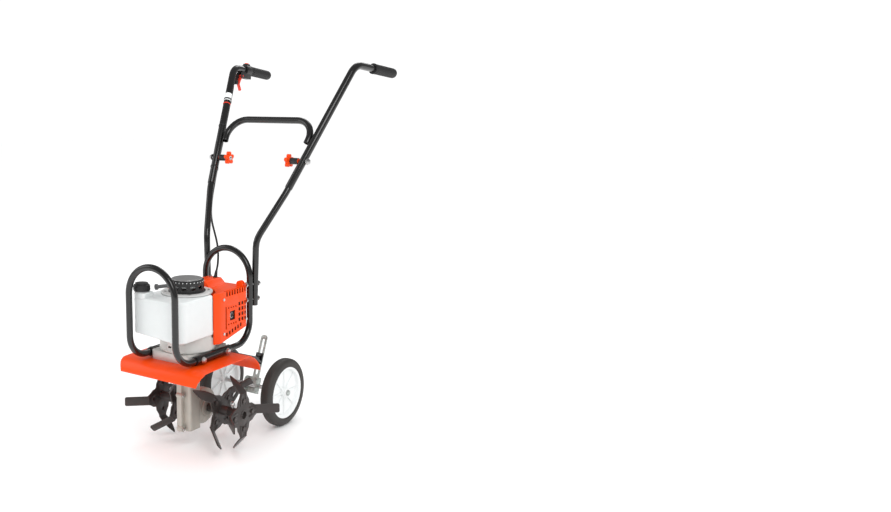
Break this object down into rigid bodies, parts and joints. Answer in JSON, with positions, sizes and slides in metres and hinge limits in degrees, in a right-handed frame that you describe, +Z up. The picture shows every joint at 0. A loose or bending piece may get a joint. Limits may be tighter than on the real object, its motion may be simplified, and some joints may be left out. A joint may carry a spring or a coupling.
{
  "type": "walk-behind tiller",
  "caption": "Small petrol garden tiller: tubular cage and forked handle over an upright engine, worm gearbox, bladed stars on one axle and two adjustable rear wheels.",
  "frame": {"origin": "on the ground, under the middle of the whole machine's box", "axes": "+Z up, -Y the machine's front (tines and tank), +Y towards the operator, +X the operator's left"},
  "size_m": [0.5016, 0.8944, 1.0777],
  "materials": {
    "black_paint": "gloss black stove enamel",
    "orange_paint": "gloss orange-red paint",
    "orange_plastic": "glossy moulded plastic",
    "cast_alloy": "sand-cast, satin",
    "steel": "zinc-plated bright",
    "galvanised": "galvanised, dull",
    "tine_steel": "dark brown-black paint on pressed steel",
    "grip_rubber": "ribbed soft rubber",
    "tyre_rubber": "smooth solid tyre",
    "white_plastic": "white moulded plastic",
    "tank_plastic": "translucent natural polyethylene",
    "black_plastic": "moulded black plastic",
    "red_plastic": "red moulded plastic",
    "bronze": "machined bronze",
    "dark_steel": "heat-darkened steel",
    "ceramic": "glazed insulator with a black boot"
  },
  "bodies": {
    "frame": {"cage_front_hoop": "black_paint", "cage_rear_hoop": "black_paint", "rail_sleeves": "black_paint", "frame_bolts": "steel", "lower_handle_left": "black_paint", "lower_handle_right": "black_paint", "upper_handle_left": "black_paint", "upper_handle_right": "black_paint", "cross_brace": "black_paint", "grip_left": "grip_rubber", "grip_right": "grip_rubber", "throttle_housing": "black_plastic", "throttle_cable": "black_plastic", "base_plate": "cast_alloy", "clutch_housing": "cast_alloy", "crankcase": "cast_alloy", "ball_bearings": "steel", "fan_housing": "white_plastic", "starter_cover": "black_plastic", "cylinder_block": "cast_alloy", "piston": "cast_alloy", "spark_plug": "ceramic", "ignition_coil": "black_plastic", "muffler": "dark_steel", "engine_shroud": "orange_plastic", "carburetor": "cast_alloy", "air_cleaner": "orange_plastic", "fuel_tank": "tank_plastic", "gear_case_left": "cast_alloy", "gear_case_right": "cast_alloy", "case_bolts": "steel", "fender": "orange_paint", "wheel_arm": "black_paint"},
    "tines": {"worm_wheel": "bronze", "tine_axle": "steel", "tine_inner_left": "tine_steel", "tine_inner_right": "tine_steel", "tine_outer_left": "tine_steel", "tine_outer_right": "tine_steel", "tine_clips": "steel"},
    "worm": {"worm_shaft": "steel"},
    "crank": {"crankshaft": "steel", "flywheel": "cast_alloy", "clutch_shoes": "dark_steel"},
    "pulley": {"starter_pulley": "white_plastic"},
    "pull_handle": {"starter_handle": "black_plastic"},
    "wheel_mount": {"wheel_bar": "galvanised", "wheel_axle": "steel"},
    "wheel_left": {"rim_left": "white_plastic", "tyre_left": "tyre_rubber"},
    "wheel_right": {"rim_right": "white_plastic", "tyre_right": "tyre_rubber"},
    "knob_left": {"knob_left": "orange_plastic"},
    "knob_right": {"knob_right": "orange_plastic"},
    "trigger": {"throttle_trigger": "red_plastic"},
    "lock": {"trigger_lock": "orange_plastic"},
    "stop": {"stop_switch": "red_plastic"},
    "choke": {"choke_lever": "black_plastic"},
    "primer": {"primer_bulb": "white_plastic"},
    "cap": {"fuel_cap": "black_plastic"}
  },
  "joints": [
    {"name": "tine_spin", "type": "hinge", "parent": "frame", "child": "tines", "pos_m": [0, -0.23523, 0.1088], "axis": [1, 0, 0], "continuous": true},
    {"name": "worm_spin", "type": "hinge", "parent": "frame", "child": "worm", "pos_m": [0, -0.29323, 0.1088], "axis": [0, 0, 1], "continuous": true},
    {"name": "crank_spin", "type": "hinge", "parent": "frame", "child": "crank", "pos_m": [0, -0.29323, 0.326], "axis": [0, 0, 1], "continuous": true},
    {"name": "starter_pull", "type": "slide", "parent": "frame", "child": "pull_handle", "axis": [-0.1, -0.25, 0.9631], "range_m": [0, 0.75], "stiffness_N_per_m": 12, "springref_m": -0.12},
    {"name": "pulley_spin", "type": "hinge", "parent": "frame", "child": "pulley", "pos_m": [0, -0.29323, 0.47], "axis": [0, 0, 1], "range_deg": [0, 1536.7]},
    {"name": "wheel_height", "type": "slide", "parent": "frame", "child": "wheel_mount", "axis": [0, 0.3697, 0.9291], "range_m": [-0.057, 0.035]},
    {"name": "wheel_left_spin", "type": "hinge", "parent": "wheel_mount", "child": "wheel_left", "pos_m": [0.1135, 0.01177, 0.1015], "axis": [1, 0, 0], "continuous": true},
    {"name": "wheel_right_spin", "type": "hinge", "parent": "wheel_mount", "child": "wheel_right", "pos_m": [-0.1135, 0.01177, 0.1015], "axis": [1, 0, 0], "continuous": true},
    {"name": "knob_left_turn", "type": "hinge", "parent": "frame", "child": "knob_left", "pos_m": [0.156, 0.04477, 0.787], "axis": [1, 0, 0], "continuous": true},
    {"name": "knob_right_turn", "type": "hinge", "parent": "frame", "child": "knob_right", "pos_m": [-0.156, 0.04477, 0.787], "axis": [-1, 0, 0], "continuous": true},
    {"name": "throttle_pull", "type": "hinge", "parent": "frame", "child": "trigger", "pos_m": [-0.22393, 0.26724, 1.0357], "axis": [0.9975, 0.0705, 0], "range_deg": [0, 24], "stiffness_Nm_per_rad": 0.4, "springref_deg": -14.32},
    {"name": "lock_press", "type": "slide", "parent": "frame", "child": "lock", "axis": [0.0071, -0.1, -0.995], "range_m": [0, 0.003], "stiffness_N_per_m": 300, "springref_m": -0.001},
    {"name": "stop_slide", "type": "slide", "parent": "frame", "child": "stop", "axis": [-0.0702, 0.9925, -0.1003], "range_m": [0, 0.006]},
    {"name": "choke_turn", "type": "hinge", "parent": "frame", "child": "choke", "pos_m": [-0.061, -0.20923, 0.384], "axis": [0, 0, 1], "range_deg": [0, 30]},
    {"name": "primer_press", "type": "slide", "parent": "frame", "child": "primer", "axis": [0, 1, 0], "range_m": [0, 0.004], "stiffness_N_per_m": 250, "springref_m": -0.001},
    {"name": "cap_turn", "type": "hinge", "parent": "frame", "child": "cap", "pos_m": [-0.065, -0.40323, 0.461], "axis": [0, 0, 1], "range_deg": [0, 540]}
  ],
  "couplings": [
    {"joint": "worm_spin", "follows": "tine_spin", "ratio": 30},
    {"joint": "pulley_spin", "follows": "starter_pull", "rad_per_m": 35.714}
  ]
}
